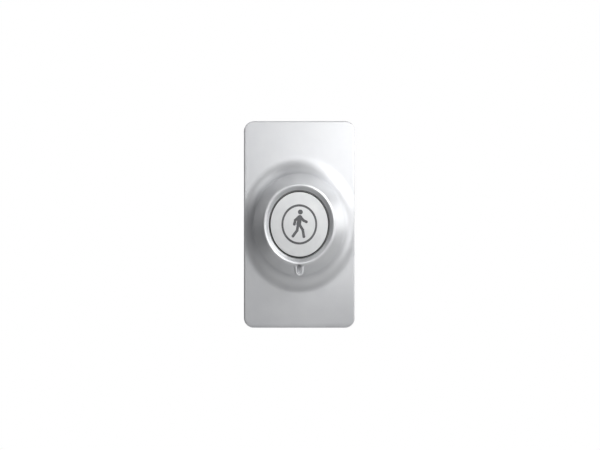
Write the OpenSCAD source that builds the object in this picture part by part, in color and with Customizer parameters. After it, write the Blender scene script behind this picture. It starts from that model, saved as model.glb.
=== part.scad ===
// Pedestrian push button: a cast plate with an oval boss around a sprung button, and a sealed
// chamber behind the button that holds its switch and terminals.
// Each module draws its piece in the build frame: X across, Y up, Z out from the wall, wall at 0.
// upright() then stands that frame up: +Z up, the button facing -Y, the wall face at Y = 0.
// The boss and the button are ovals. Their radii are the upright ones, and oval() narrows them.

/* [Plate] */
// Width of the plate
plate_w = 95.25; // [92:0.25:104]
// Height of the plate
plate_h = 177.8; // [168:0.1:200]
// Thickness of the plate
plate_t = 6; // [6:0.5:8]
// Radius of the plate's corners
corner_r = 8.6; // [6:0.2:12]
// Thickness of the gasket between the plate and the wall
wall_gasket_t = 1.5; // [1:0.1:2]

/* [Boss] */
// Width of each oval as a share of its height
oval_ratio = 0.889; // [0.88:0.001:0.95]
// Upright radius of the sharp edge at the foot of the flank
flank_r = 43.8; // [43:0.1:45]
// Height of that edge above the plate
flank_foot_h = 13; // [12:0.5:14]
// Radius of the hollow flare between the flank's foot and the plate
flare_round = 15.7; // [15.5:0.1:17]
// Upright radius of the lip's crest
lip_r = 33.5; // [33.2:0.1:33.8]
// Radius of the lip's rounded crest
lip_round = 2.1; // [1.8:0.1:2.2]
// Height of the lip above the plate
lip_h = 30; // [30:0.5:32]

/* [Button] */
// Upright radius of the button
button_r = 28.1; // [27.6:0.1:28.2]
// Gap around the button
button_gap = 0.8; // [0.6:0.1:0.9]
// Depth of the button's face below the lip
face_depth = 5.4; // [5.2:0.1:5.6]
// How far the button travels
travel = 2.5; // [1.5:0.1:2.5]
// Depth of the symbol's filled engraving
symbol_t = 0.4; // [0.3:0.1:0.6]
// How far the engraving's fill lies below the face
fill_sink = 0.1; // [0.05:0.05:0.15]

/* [Drain spout] */
// Width of the spout at its end
spout_w = 6.9; // [6.4:0.1:7.4]
// Distance from the button's centre to the spout's end
spout_reach = 44; // [43.8:0.1:44.4]
// Width of the slot in the spout
slot_w = 3.4; // [3:0.1:3.6]

/* [Fixings and cable] */
// Distance between the fixing holes across the plate
fixing_w = 72; // [70:1:74]
// Distance between the fixing holes up the plate
fixing_h = 152; // [146:1:152]
// Radius of the fixing thread
fixing_r = 2.5; // [2:0.5:2.5]
// Radius of the cable inlet
inlet_r = 3; // [2:0.5:3.5]

/* [Chamber] */
// Radius of the switch chamber
chamber_r = 34; // [33.8:0.1:34.2]
// Radius of the rear cover
cover_r = 41.2; // [41:0.1:41.4]
// Thickness of the rear cover
cover_t = 2.2; // [2:0.1:2.4]

/* [Hidden] */
$fn = 96;
cut = 1;                    // how far a cutter runs past what it cuts
play = 0.3;                 // loose fit of a disc in its seat
snug = 0.1;                 // gap between a hole and the screw, seal or blade in it
pivot_slack = 0.05;         // gap around a pin or plunger that moves
running = 0.03;             // clearance of the stem in its bush
hole_spare = 0.5;           // a blind hole runs this far past its screw
tip_short = 0.3;            // screws end this far below the guide plate's front

// Pan screws: radius and height of the head, radius of its key
m2_head = [1.9, 1.3, 0.7];
m25_head = [2.3, 1.5, 0.9];
m3_head = [2.75, 1.8, 1.1];
m4_head = [3.6, 2.4, 1.6];
clamp_head = [1.8, 1.5, 0.9];
key_share = 0.55;           // depth of a key as a share of the head's height

// Wall gasket
gasket_inset = 0.8;
gasket_opening_gap = 0.6;
gasket_hole_gap = 0.2;

// Depths from the wall
plate_back = wall_gasket_t;
plate_front = plate_back + plate_t;
lip_top = plate_front + lip_h;
face_z = lip_top - face_depth;
dish_z = face_z + 0.4;      // foot of the dish around the button

// Cap, with the flange that keeps it in the housing
face_t = 3;
flange_t = 2;
flange_lap = 2.3;
skirt_t = 2.4;
cap_edge = 0.8;
bore_r = button_r + button_gap;
flange_r = button_r + flange_lap;
pocket_r = flange_r + button_gap;
cap_seal_t = 1;
seal_ease = 0.05;           // the flange lies this far from its seal, and the seal from the bore
shoulder_z = face_z - 3.1;
flange_front = shoulder_z - cap_seal_t - seal_ease;
flange_back = flange_front - flange_t;
cap_inside = face_z - face_t;
cap_boss_r = 6;
cap_boss_z = flange_back + 1;

// Guide plate across the front of the chamber, its gasket and the bush in its centre
guide_t = 3;
guide_gasket_t = 0.8;
ledge_z = flange_back - travel + 0.35;
guide_front = ledge_z - guide_gasket_t;
guide_back = guide_front - guide_t;
guide_r = chamber_r - play;
bush_r = 5.5;
bush_flange_r = 6.4;
bush_flange_z = cap_boss_z - travel - 0.15;
bush_end_z = guide_back - 1.4;
groove_z = [guide_back + 0.2, guide_back + 2];
ring_cord_r = 0.75;
ring_ease = 0.01;

// Stem, its clip and its spring
stem_r = 3;
stem_tail_r = 2.5;
stem_tail_l = 3;
tip_sphere_r = 6;
clip_t = 0.6;
clip_r = 4.6;
clip_z = bush_end_z - 0.4 - clip_t;
clip_groove_r = 2.3;
spring_r = 8.3;
spring_wire_r = 0.4;
spring_turns = 4;
spring_ease = 0.02;         // gap at each end of the spring
coil_gap = 0.05;            // gap between the turns that lie closed
rings_per_turn = 20;
spring_groove_d = 1.2;
spring_seat_z = guide_front - spring_groove_d;

// Rear cover and its gasket
cover_gasket_t = 1;
cover_inside = plate_back + cover_t;
seat_z = cover_inside + cover_gasket_t;
cover_screw_ring = (chamber_r + cover_r) / 2 + 0.2;
cover_screw_r = 2;
cover_screw_grip = 6;
cover_key_r = 1.3;
cover_key_h = 1.4;
inlet_y = 20;
grommet_hole_r = inlet_r + 2;
grommet_flange_r = inlet_r + 4.5;
grommet_flange_t = 1.3;

// Switch: its body stands on edge behind the stem, with the lever's hinge to the left
lever_tilt = 8;             // the lever rises this much at rest and falls as much when pressed
lever_reach = travel / 2 / tan(lever_tilt);
lever_t = 0.5;
lever_w = 4.2;
lever_l = lever_reach + 6;
stem_lever_gap = 0.15;
hinge_x = -lever_reach;
stem_tip_z = clip_z - 1.15;
hinge_z = stem_tip_z - stem_lever_gap - lever_t / 2 / cos(lever_tilt) - travel / 2;
pin_r = 0.6;
eye_r = 1.15;
switch_l = 20;
switch_t = 6.4;
switch_x = hinge_x - 3.5;   // left end of the body
switch_top = hinge_z - 2.6;
switch_base = cover_inside + 0.5;
ear_w = 3.2;
ear_t = 1;
plunger_r = 1;
plunger_dome_r = 1.5;
plunger_arm = 3.2;          // distance from the hinge
plunger_gap = 0.06;
plunger_room = 1.2;         // depth of the bore below the plunger
plunger_top = hinge_z + plunger_arm * tan(lever_tilt) - lever_t / 2 / cos(lever_tilt) - plunger_gap;
switch_plunger_l = 4.3;
switch_screw_r = 1;
switch_screw_x = [hinge_x - 0.25, hinge_x + 9.25];
switch_screw_z = switch_base + 2.4;
blade_z = [for (step = [0, 1, 2]) switch_base + 1 + 3 * step];
blade_l = 4.5;
blade_w = 2.8;
blade_t = 0.5;
blade_x = switch_x + switch_l;
receptacle_l = 5;
receptacle_w = 3.8;
receptacle_t = 2.4;
receptacle_x = blade_x + 1;
socket_x = blade_x + blade_l + 0.2;

// Bracket that holds the switch
bracket_t = 1.2;
bracket_x = [switch_x, 10];
bracket_depth = 14;
bracket_screw_r = 1.5;
bracket_screws_at = [[bracket_x[0] + 3, 10], [bracket_x[1] - 3, 10]];
bracket_notch_r = 6.6;
clip_room = 0.7;            // the notch runs this far past where the clip ends its travel

// Terminal block
pole_pitch = 8;
poles = [-1, 0, 1];
block_y = -19;
block_w = 32.4;
block_d = 12;
block_h = 9;
block_recess = 2;
block_screw_r = 1.25;
block_screw_x = 13.8;
clamp_w = 4.6;
clamp_h = 5;
clamp_l = 10;
clamp_screw_l = 1.4;
clamp_z = guide_back - 4.5;
wire_r = 1.2;

// Guide plate screws, earth screw and leads
guide_screw_r = 1.5;
guide_screw_grip = 4;
guide_screw_ring = 30.9;
guide_screw_angles = [20, 160, 200, 340];
earth_r = 2;
earth_at = [20, 18];
earth_washer_r = 4.4;
earth_washer_t = 0.6;
lead_r = 0.8;
lead_sides = 8;
lead_start_x = socket_x + 0.2;
block_top_y = block_y + block_d / 2;
common_route = [[lead_start_x, 0, blade_z[0]], [receptacle_x + receptacle_l, 0, blade_z[0]],
    [19, -1.4, 5.8], [21, -5, 7.5], [20, -9, 11], [14, -10.6, 14], [9, -11, clamp_z],
    [pole_pitch, block_top_y, clamp_z], [pole_pitch, block_top_y - 3.5, clamp_z]];
contact_route = [[lead_start_x, 0, blade_z[1]], [receptacle_x + receptacle_l, 0, blade_z[1]],
    [17, -1.6, 8.7], [17.6, -5, 10], [11, -8.2, 13.4], [3, -9.6, clamp_z],
    [0, block_top_y, clamp_z], [0, block_top_y - 3.5, clamp_z]];

// Spout and drain
spout_root_w = 8.6;
spout_top = lip_top - 0.9;
spout_round = spout_w / 2 - 0.05;
slot_y = [-42.5, -34.2];
slot_floor = face_z - 2.5;
drain_r = 1.2;
drain_z = face_z - 1.2;

// Symbol on the button
ring_r = 17.2;
ring_line = 1.9;
head_r = 2.1;
head_at = [0.9, 10.6];
limb_w = 2.3;
torso_w = 3.8;
joint_swell = 1.08;         // a stroke's round joints stand a little proud of its sides
torso = [[0.5, 6], [-0.5, 0.2]];
front_arm = [[0.9, 6.6], [3.6, 3.4], [6, 2.2]];
rear_arm = [[-0.2, 6.6], [-3.4, 3.6], [-4.2, 0.2]];
front_leg = [[0.1, 0], [2.9, -4.6], [3.9, -10.4]];
rear_leg = [[-1, 0], [-1.9, -5.2], [-5.4, -10]];

// Fixings
insert_r = 3.6;
insert_flange_r = 4.8;
insert_flange_t = 0.7;
insert_l = 4.4;

// Point where the line from p touches a circle of radius r about c, on the side given by 1 or -1
function touch_point(p, c, r, side) =
    let (d = c - p, turn = side * asin(r / norm(d)), a = atan2(d.y, d.x) + turn)
    p + sqrt(d * d - r * r) * [cos(a), sin(a)];

function unit(v) = v / norm(v);

// Point on a smooth curve through four neighbours, at t from 0 to 1 between the middle two
function smooth_point(a, b, c, d, t) =
    0.5 * (2 * b + (c - a) * t + (2 * a - 5 * b + 4 * c - d) * t * t
    + (3 * b - a - 3 * c + d) * t * t * t);

function smooth_route(p, steps = 3) = let (last = len(p) - 1) concat(
    [for (i = [0:last - 1], s = [0:steps - 1])
        smooth_point(p[max(i - 1, 0)], p[i], p[i + 1], p[min(i + 2, last)], s / steps)],
    [p[last]]);

function direction(p, i) = unit(p[min(i + 1, len(p) - 1)] - p[max(i - 1, 0)]);

// Points of a coil's centre line whose end turns lie closed
function coil_height(turn, turns, height, pitch_end) =
    turn < 1 ? turn * pitch_end
    : turn > turns - 1 ? height - (turns - turn) * pitch_end
    : pitch_end + (turn - 1) * (height - 2 * pitch_end) / (turns - 2);

module upright() rotate([90, 0, 0]) children();

module oval() scale([oval_ratio, 1, 1]) children();

module at_z(z) translate([0, 0, z]) children();

module disc(r, from_z, to_z) at_z(from_z) cylinder(r = r, h = to_z - from_z);

module oval_outline(r) scale([oval_ratio, 1]) circle(r);

module oval_disc(r, from_z, to_z) at_z(from_z) linear_extrude(to_z - from_z) oval_outline(r);

module ring(r_out, r_in, from_z, to_z) {
    difference() {
        disc(r_out, from_z, to_z);
        disc(r_in, from_z - cut, to_z + cut);
    }
}

module rounded_rectangle(w, h, r) {
    square([w - 2 * r, h], center = true);
    square([w, h - 2 * r], center = true);
    for (x = [-1, 1], y = [-1, 1]) translate([x * (w / 2 - r), y * (h / 2 - r)]) circle(r);
}

module at_corners(w, h) {
    for (x = [-1, 1], y = [-1, 1]) translate([x * w / 2, y * h / 2, 0]) children();
}

module at_cover_screws() at_corners(cover_screw_ring * sqrt(2), cover_screw_ring * sqrt(2)) children();

module at_guide_screws() {
    for (a = guide_screw_angles)
        translate([guide_screw_ring * cos(a), guide_screw_ring * sin(a), 0]) children();
}

// Screw put in from the wall side: the head's underside at 0, the shank along +Z
module pan_screw(r, l, head) {
    difference() {
        union() {
            disc(r, 0, l);
            disc(head[0], -head[1], 0);
        }
        at_z(-head[1] - cut) cylinder(r = head[2], h = cut + key_share * head[1], $fn = 6);
    }
}

// A closed tube of a given radius along a list of points
module tube_along(points, r, sides) {
    n = len(points);
    rings = [for (i = [0:n - 1])
        let (t = direction(points, i), u = unit(cross([0, 0, 1], t)), v = cross(t, u))
        for (k = [0:sides - 1])
            points[i] + r * (cos(360 * k / sides) * u + sin(360 * k / sides) * v)];
    walls = [for (i = [0:n - 2], k = [0:sides - 1])
        [i * sides + k, (i + 1) * sides + k,
            (i + 1) * sides + (k + 1) % sides, i * sides + (k + 1) % sides]];
    start = [for (k = [0:sides - 1]) k];
    end = [for (k = [sides - 1:-1:0]) (n - 1) * sides + k];
    polyhedron(rings, concat([start], walls, [end]));
}

// One stroke of the symbol
module limb(points, w) {
    for (p = points) translate(p) circle(d = joint_swell * w);
    for (i = [0:len(points) - 2]) {
        step = points[i + 1] - points[i];
        translate(points[i]) rotate(atan2(step.y, step.x)) translate([0, -w / 2]) square([norm(step), w]);
    }
}

module symbol_outline() {
    difference() {
        oval_outline(ring_r);
        oval_outline(ring_r - ring_line);
    }
    translate(head_at) circle(head_r);
    limb(torso, torso_w);
    for (stroke = [front_arm, rear_arm, front_leg, rear_leg]) limb(stroke, limb_w);
}

// Half section of the plate, boss and dish, as wide as the plate's corners need
module boss_section() {
    lip = [lip_r, lip_top - lip_round];
    flank_foot = [flank_r, plate_front + flank_foot_h];
    rise = flare_round - flank_foot_h;
    flare_r = flank_r + sqrt(flare_round * flare_round - rise * rise);
    plate_reach = norm([plate_w / oval_ratio, plate_h]) / 2 + cut;
    difference() {
        union() {
            polygon([[bore_r, plate_back], [plate_reach, plate_back], [plate_reach, plate_front],
                [flare_r, plate_front], flank_foot, touch_point(flank_foot, lip, lip_round, -1),
                lip, touch_point([bore_r, dish_z], lip, lip_round, 1), [bore_r, dish_z]]);
            translate(lip) circle(lip_round);
        }
        intersection() {
            translate([flare_r, plate_front + flare_round]) circle(flare_round);
            translate([bore_r, plate_front]) square([flare_r - bore_r, flare_round]);
        }
        translate([0, plate_back - cut]) square([pocket_r, shoulder_z - plate_back + cut]);
    }
}

module spout_outline() {
    end_y = spout_round - spout_reach;
    root_y = -lip_r;
    for (x = [-1, 1]) translate([x * (spout_w / 2 - spout_round), end_y]) circle(spout_round);
    polygon([[-spout_w / 2, end_y], [spout_w / 2, end_y], [spout_root_w / 2, root_y],
        [-spout_root_w / 2, root_y]]);
}

module slot_outline() {
    r = slot_w / 2;
    for (y = [slot_y[0] + r, slot_y[1] - r]) translate([0, y]) circle(r);
    translate([-r, slot_y[0] + r]) square([slot_w, slot_y[1] - slot_y[0] - slot_w]);
}

module housing() color([0.85, 0.86, 0.87]) upright() difference() {
    union() {
        intersection() {
            oval() rotate_extrude() boss_section();
            at_z(plate_back - cut) linear_extrude(lip_top) rounded_rectangle(plate_w, plate_h, corner_r);
        }
        at_z(plate_front) linear_extrude(spout_top - plate_front) spout_outline();
    }
    disc(chamber_r, plate_back, ledge_z);
    disc(cover_r + play, plate_back - cut, seat_z);
    at_z(slot_floor) linear_extrude(lip_top) slot_outline();
    translate([0, slot_y[1] - slot_w / 2, drain_z]) rotate([-90, 0, 0])
        cylinder(r = drain_r, h = -slot_y[1] - bore_r + slot_w);
    at_cover_screws() disc(cover_screw_r, seat_z - cut, seat_z + cover_screw_grip + hole_spare);
    at_guide_screws() disc(guide_screw_r, ledge_z - cut, ledge_z + guide_screw_grip + hole_spare);
    at_corners(fixing_w, fixing_h) {
        disc(insert_r, plate_back - cut, plate_back + insert_l);
        disc(insert_flange_r, plate_back - cut, plate_back + insert_flange_t);
    }
}

module wall_gasket() color([0.12, 0.12, 0.13]) upright() difference() {
    linear_extrude(wall_gasket_t)
        rounded_rectangle(plate_w - 2 * gasket_inset, plate_h - 2 * gasket_inset, corner_r - gasket_inset);
    disc(cover_r + gasket_opening_gap, -cut, wall_gasket_t + cut);
    at_corners(fixing_w, fixing_h) disc(insert_flange_r + gasket_hole_gap, -cut, wall_gasket_t + cut);
}

module mounting_inserts() color([0.7, 0.71, 0.72]) upright() at_corners(fixing_w, fixing_h) difference() {
    union() {
        disc(insert_r, plate_back, plate_back + insert_l);
        disc(insert_flange_r, plate_back, plate_back + insert_flange_t);
    }
    disc(fixing_r, plate_back - cut, plate_back + insert_l + cut);
}

// Half section of the cap's face, from the top of its skirt to its rounded edge
module cap_face_section() {
    crest_r = button_r - cap_edge;
    square([button_r, face_t - cap_edge]);
    square([crest_r, face_t]);
    translate([crest_r, face_t - cap_edge]) circle(cap_edge);
}

module button_cap() color([0.83, 0.84, 0.85]) upright() difference() {
    union() {
        at_z(cap_inside) oval() rotate_extrude() cap_face_section();
        difference() {
            union() {
                oval_disc(button_r, flange_back, cap_inside);
                oval_disc(flange_r, flange_back, flange_front);
            }
            oval_disc(button_r - skirt_t, flange_back - cut, cap_inside + cut);
        }
        disc(cap_boss_r, cap_boss_z, cap_inside);
    }
    disc(stem_tail_r, cap_boss_z - cut, cap_boss_z + stem_tail_l);
    at_z(face_z - symbol_t) linear_extrude(symbol_t + cut) symbol_outline();
}

module button_symbol() color([0.3, 0.31, 0.32]) upright()
    at_z(face_z - symbol_t) linear_extrude(symbol_t - fill_sink) symbol_outline();

module cap_seal() color([0.1, 0.1, 0.1]) upright() difference() {
    oval_disc(pocket_r - snug, shoulder_z - cap_seal_t, shoulder_z);
    oval_disc(bore_r + seal_ease, shoulder_z - cap_seal_t - cut, shoulder_z + cut);
}

module plunger_stem() color([0.75, 0.76, 0.77]) upright() difference() {
    union() {
        intersection() {
            disc(stem_r, stem_tip_z, cap_boss_z);
            at_z(stem_tip_z + tip_sphere_r) union() {
                sphere(tip_sphere_r);
                cylinder(r = tip_sphere_r, h = cap_boss_z);
            }
        }
        disc(stem_tail_r, cap_boss_z, cap_boss_z + stem_tail_l);
    }
    ring(stem_r + cut, clip_groove_r, clip_z, clip_z + clip_t);
}

module stem_clip() color([0.6, 0.6, 0.62]) upright() difference() {
    disc(clip_r, clip_z, clip_z + clip_t);
    disc(clip_groove_r, clip_z - cut, clip_z + clip_t + cut);
    translate([-clip_groove_r, -clip_r - cut, clip_z - cut])
        cube([2 * clip_groove_r, clip_r + cut, clip_t + 2 * cut]);
}

module return_spring() color([0.7, 0.7, 0.72]) upright() {
    height = cap_inside - spring_seat_z - 2 * spring_wire_r - 2 * spring_ease;
    points = [for (i = [0:spring_turns * rings_per_turn])
        let (turn = i / rings_per_turn)
        [spring_r * cos(360 * turn), spring_r * sin(360 * turn), spring_seat_z + spring_ease
            + spring_wire_r + coil_height(turn, spring_turns, height, 2 * spring_wire_r + coil_gap)]];
    tube_along(points, spring_wire_r, lead_sides);
}

module guide_bush() color([0.75, 0.6, 0.35]) upright() difference() {
    union() {
        disc(bush_flange_r, guide_front, bush_flange_z);
        disc(bush_r, bush_end_z, guide_front);
    }
    disc(stem_r + running, bush_end_z - cut, bush_flange_z + cut);
    disc(stem_r + running + 2 * ring_cord_r, groove_z[0], groove_z[1]);
}

module stem_o_ring() color([0.08, 0.08, 0.08]) upright()
    at_z((groove_z[0] + groove_z[1]) / 2) rotate_extrude()
        translate([stem_r + running + ring_cord_r, 0]) circle(ring_cord_r - ring_ease);

module guide_plate() color([0.78, 0.79, 0.8]) upright() difference() {
    disc(guide_r, guide_back, guide_front);
    disc(bush_r, guide_back - cut, guide_front + cut);
    ring(spring_r + 3 * spring_wire_r, spring_r - 3 * spring_wire_r, spring_seat_z, guide_front + cut);
    at_guide_screws() disc(guide_screw_r + snug, guide_back - cut, guide_front + cut);
    for (p = bracket_screws_at) translate(p) disc(bracket_screw_r, guide_back - cut, guide_front + cut);
    for (x = [-1, 1]) translate([x * block_screw_x, block_y, 0])
        disc(block_screw_r, guide_back - cut, guide_front + cut);
    translate(earth_at) disc(earth_r, guide_back - cut, guide_front + cut);
}

module guide_plate_gasket() color([0.1, 0.1, 0.1]) upright() difference() {
    disc(guide_r, guide_front, ledge_z);
    oval_disc(pocket_r, guide_front - cut, ledge_z + cut);
    at_guide_screws() disc(guide_screw_r + snug, guide_front - cut, ledge_z + cut);
}

module guide_plate_screws() color([0.66, 0.67, 0.68]) upright() at_guide_screws() at_z(guide_back)
    pan_screw(guide_screw_r, guide_t + guide_gasket_t + guide_screw_grip, m3_head);

module switch_bracket() color([0.7, 0.72, 0.7]) upright() difference() {
    width = bracket_x[1] - bracket_x[0];
    union() {
        translate([bracket_x[0], switch_t / 2, switch_base])
            cube([width, bracket_t, guide_back - switch_base]);
        translate([bracket_x[0], switch_t / 2, guide_back - bracket_t])
            cube([width, bracket_depth - switch_t / 2, bracket_t]);
    }
    disc(bracket_notch_r, clip_z - travel - clip_room, guide_back + cut);
    for (p = bracket_screws_at)
        translate(p) disc(bracket_screw_r + snug, guide_back - bracket_t - cut, guide_back + cut);
    for (x = switch_screw_x) translate([x, 0, switch_screw_z]) rotate([-90, 0, 0])
        cylinder(r = switch_screw_r, h = bracket_depth);
}

module bracket_screws() color([0.66, 0.67, 0.68]) upright()
    for (p = bracket_screws_at) translate(p) at_z(guide_back - bracket_t)
        pan_screw(bracket_screw_r, bracket_t + guide_t - tip_short, m3_head);

module switch_body() color([0.2, 0.2, 0.22]) upright() difference() {
    union() {
        translate([switch_x, -switch_t / 2, switch_base])
            cube([switch_l, switch_t, switch_top - switch_base]);
        for (y = [-switch_t / 2, switch_t / 2 - ear_t])
            translate([hinge_x - ear_w / 2, y, switch_top - cut])
                cube([ear_w, ear_t, hinge_z - switch_top + eye_r + cut]);
    }
    translate([hinge_x + plunger_arm, 0, 0])
        disc(plunger_r + pivot_slack, plunger_top - switch_plunger_l - plunger_room, hinge_z);
    translate([hinge_x, switch_t, hinge_z]) rotate([90, 0, 0]) cylinder(r = pin_r, h = 2 * switch_t);
    for (x = switch_screw_x) translate([x, switch_t, switch_screw_z]) rotate([90, 0, 0])
        cylinder(r = switch_screw_r + pivot_slack, h = 2 * switch_t);
}

module switch_screws() color([0.66, 0.67, 0.68]) upright()
    for (x = switch_screw_x) translate([x, -switch_t / 2, switch_screw_z]) rotate([-90, 0, 0])
        pan_screw(switch_screw_r, switch_t + bracket_t + cut, m2_head);

module switch_plunger() color([0.75, 0.2, 0.15]) upright() translate([hinge_x + plunger_arm, 0, 0])
    intersection() {
        disc(plunger_r, plunger_top - switch_plunger_l, plunger_top);
        at_z(plunger_top - plunger_dome_r) union() {
            sphere(plunger_dome_r);
            at_z(-switch_plunger_l) cylinder(r = plunger_dome_r, h = switch_plunger_l);
        }
    }

module switch_lever() color([0.8, 0.8, 0.78]) upright() translate([hinge_x, 0, hinge_z])
    rotate([0, -lever_tilt, 0]) difference() {
        union() {
            translate([0, lever_w / 2, 0]) rotate([90, 0, 0]) cylinder(r = eye_r, h = lever_w);
            translate([0, -lever_w / 2, -lever_t / 2]) cube([lever_l, lever_w, lever_t]);
        }
        translate([0, lever_w, 0]) rotate([90, 0, 0]) cylinder(r = pin_r + pivot_slack, h = 2 * lever_w);
    }

module lever_pin() color([0.6, 0.6, 0.62]) upright()
    translate([hinge_x, switch_t / 2, hinge_z]) rotate([90, 0, 0]) cylinder(r = pin_r, h = switch_t);

module blades(slack) {
    for (z = blade_z) translate([blade_x, -blade_w / 2 - slack, z - blade_t / 2 - slack])
        cube([blade_l, blade_w + 2 * slack, blade_t + 2 * slack]);
}

module switch_terminals() color([0.8, 0.75, 0.5]) upright() blades(0);

module lead_receptacles() color([0.8, 0.65, 0.35]) upright() difference() {
    for (z = [blade_z[0], blade_z[1]])
        translate([receptacle_x, -receptacle_w / 2, z - receptacle_t / 2])
            cube([receptacle_l, receptacle_w, receptacle_t]);
    blades(snug);
    for (z = [blade_z[0], blade_z[1]]) translate([socket_x, 0, z]) rotate([0, 90, 0])
        cylinder(r = lead_r + snug, h = receptacle_l);
}

module lead(route) tube_along(smooth_route(route), lead_r, lead_sides);

module common_lead() color([0.75, 0.1, 0.1]) upright() lead(common_route);

module contact_lead() color([0.1, 0.1, 0.12]) upright() lead(contact_route);

module terminal_block() color([0.9, 0.9, 0.86]) upright() translate([0, block_y, 0]) difference() {
    translate([-block_w / 2, -block_d / 2, guide_back - block_h]) cube([block_w, block_d, block_h]);
    for (k = poles) translate([k * pole_pitch, 0, 0]) {
        translate([-clamp_w / 2, -block_d, clamp_z - clamp_h / 2]) cube([clamp_w, 2 * block_d, clamp_h]);
        disc(clamp_head[0] + snug, guide_back - block_h - cut, clamp_z);
    }
    for (x = [-1, 1]) translate([x * block_screw_x, 0, 0]) {
        disc(block_screw_r + snug, guide_back - block_h - cut, guide_back + cut);
        disc(m25_head[0] + snug, guide_back - block_h - cut, guide_back - block_h + block_recess);
    }
}

module terminal_clamps() color([0.8, 0.68, 0.35]) upright() translate([0, block_y, clamp_z])
    for (k = poles) translate([k * pole_pitch, 0, 0]) difference() {
        cube([clamp_w, clamp_l, clamp_h], center = true);
        translate([0, block_d, 0]) rotate([90, 0, 0]) cylinder(r = wire_r, h = 2 * block_d);
        disc(block_screw_r, -clamp_h, 0);
    }

module terminal_screws() color([0.72, 0.72, 0.7]) upright() translate([0, block_y, clamp_z - clamp_h / 2])
    for (k = poles) translate([k * pole_pitch, 0, 0]) pan_screw(block_screw_r, clamp_screw_l, clamp_head);

module block_screws() color([0.66, 0.67, 0.68]) upright()
    for (x = [-1, 1]) translate([x * block_screw_x, block_y, guide_back - block_h + block_recess])
        pan_screw(block_screw_r, block_h - block_recess + guide_t - tip_short, m25_head);

module earth_screw() color([0.7, 0.72, 0.6]) upright() translate(earth_at) at_z(guide_back - earth_washer_t)
    pan_screw(earth_r, earth_washer_t + guide_t - tip_short, m4_head);

module earth_washer() color([0.78, 0.74, 0.5]) upright() translate(earth_at)
    ring(earth_washer_r, earth_r + snug, guide_back - earth_washer_t, guide_back);

module rear_cover() color([0.76, 0.77, 0.78]) upright() difference() {
    disc(cover_r, plate_back, cover_inside);
    at_cover_screws() {
        disc(cover_screw_r + snug, plate_back - cut, cover_inside + cut);
        at_z(plate_back) cylinder(r1 = 2 * cover_screw_r, r2 = cover_screw_r, h = cover_screw_r);
    }
    translate([0, inlet_y, 0]) disc(grommet_hole_r, plate_back - cut, cover_inside + cut);
}

module cover_gasket() color([0.1, 0.1, 0.1]) upright() difference() {
    ring(cover_r, chamber_r + play, cover_inside, seat_z);
    at_cover_screws() disc(cover_screw_r + snug, cover_inside - cut, seat_z + cut);
}

module cover_screws() color([0.66, 0.67, 0.68]) upright() at_cover_screws() difference() {
    union() {
        at_z(plate_back) cylinder(r1 = 2 * cover_screw_r, r2 = cover_screw_r, h = cover_screw_r);
        disc(cover_screw_r, plate_back + cover_screw_r, seat_z + cover_screw_grip);
    }
    at_z(plate_back - cut) cylinder(r = cover_key_r, h = cut + cover_key_h, $fn = 6);
}

module cable_grommet() color([0.08, 0.08, 0.08]) upright() translate([0, inlet_y, 0]) difference() {
    union() {
        disc(grommet_hole_r, plate_back, cover_inside);
        disc(grommet_flange_r, plate_back - grommet_flange_t, plate_back);
        disc(grommet_flange_r, cover_inside, cover_inside + grommet_flange_t);
    }
    disc(inlet_r, -cut, cover_inside + grommet_flange_t + cut);
}

housing();
wall_gasket();
mounting_inserts();
button_cap();
button_symbol();
cap_seal();
plunger_stem();
stem_clip();
return_spring();
guide_bush();
stem_o_ring();
guide_plate();
guide_plate_gasket();
guide_plate_screws();
switch_bracket();
bracket_screws();
switch_body();
switch_screws();
switch_plunger();
switch_lever();
lever_pin();
switch_terminals();
lead_receptacles();
common_lead();
contact_lead();
terminal_block();
terminal_clamps();
terminal_screws();
block_screws();
earth_screw();
earth_washer();
rear_cover();
cover_gasket();
cover_screws();
cable_grommet();
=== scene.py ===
# %% [markdown]
# # A pedestrian push button
# A cast plate with a flared oval boss holds a sprung button that a person presses to cross a road.
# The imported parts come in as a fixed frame. Most of them keep their shape and only need a finish.
# The casting, the spring and the two leads are built again here, because their soft edges and round
# wire are what the eye checks first, and a mesh made for that purpose shows them better.

import math

import bmesh
import bpy
import numpy as np
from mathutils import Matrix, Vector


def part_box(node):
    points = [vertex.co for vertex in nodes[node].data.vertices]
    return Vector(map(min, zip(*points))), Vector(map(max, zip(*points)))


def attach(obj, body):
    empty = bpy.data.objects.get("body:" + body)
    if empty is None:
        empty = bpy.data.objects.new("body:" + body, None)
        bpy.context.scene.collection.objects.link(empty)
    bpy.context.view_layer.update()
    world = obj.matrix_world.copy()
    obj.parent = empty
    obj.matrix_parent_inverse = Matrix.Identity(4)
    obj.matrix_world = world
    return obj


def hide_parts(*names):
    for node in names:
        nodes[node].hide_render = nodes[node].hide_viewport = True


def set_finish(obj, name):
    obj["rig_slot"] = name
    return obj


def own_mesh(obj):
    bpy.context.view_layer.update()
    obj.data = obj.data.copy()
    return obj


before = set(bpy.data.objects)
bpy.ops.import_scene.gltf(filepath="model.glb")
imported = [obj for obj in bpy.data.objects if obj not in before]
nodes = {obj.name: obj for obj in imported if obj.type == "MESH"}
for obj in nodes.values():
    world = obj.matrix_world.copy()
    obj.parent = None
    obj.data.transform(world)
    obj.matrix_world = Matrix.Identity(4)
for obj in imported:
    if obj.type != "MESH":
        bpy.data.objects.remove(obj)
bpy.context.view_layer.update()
print("packed pieces:", len(nodes))

# %% [markdown]
# ## Camera
# A catalogue picture of a wall plate is taken square on and from far away, so that its sides stay
# parallel. A long lens a few metres off does that, and it still is a real camera with a real distance.
# The distance follows from the lens: the sensor sees as many millimetres at the plate as it is wide
# itself, times the distance over the focal length.

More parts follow.
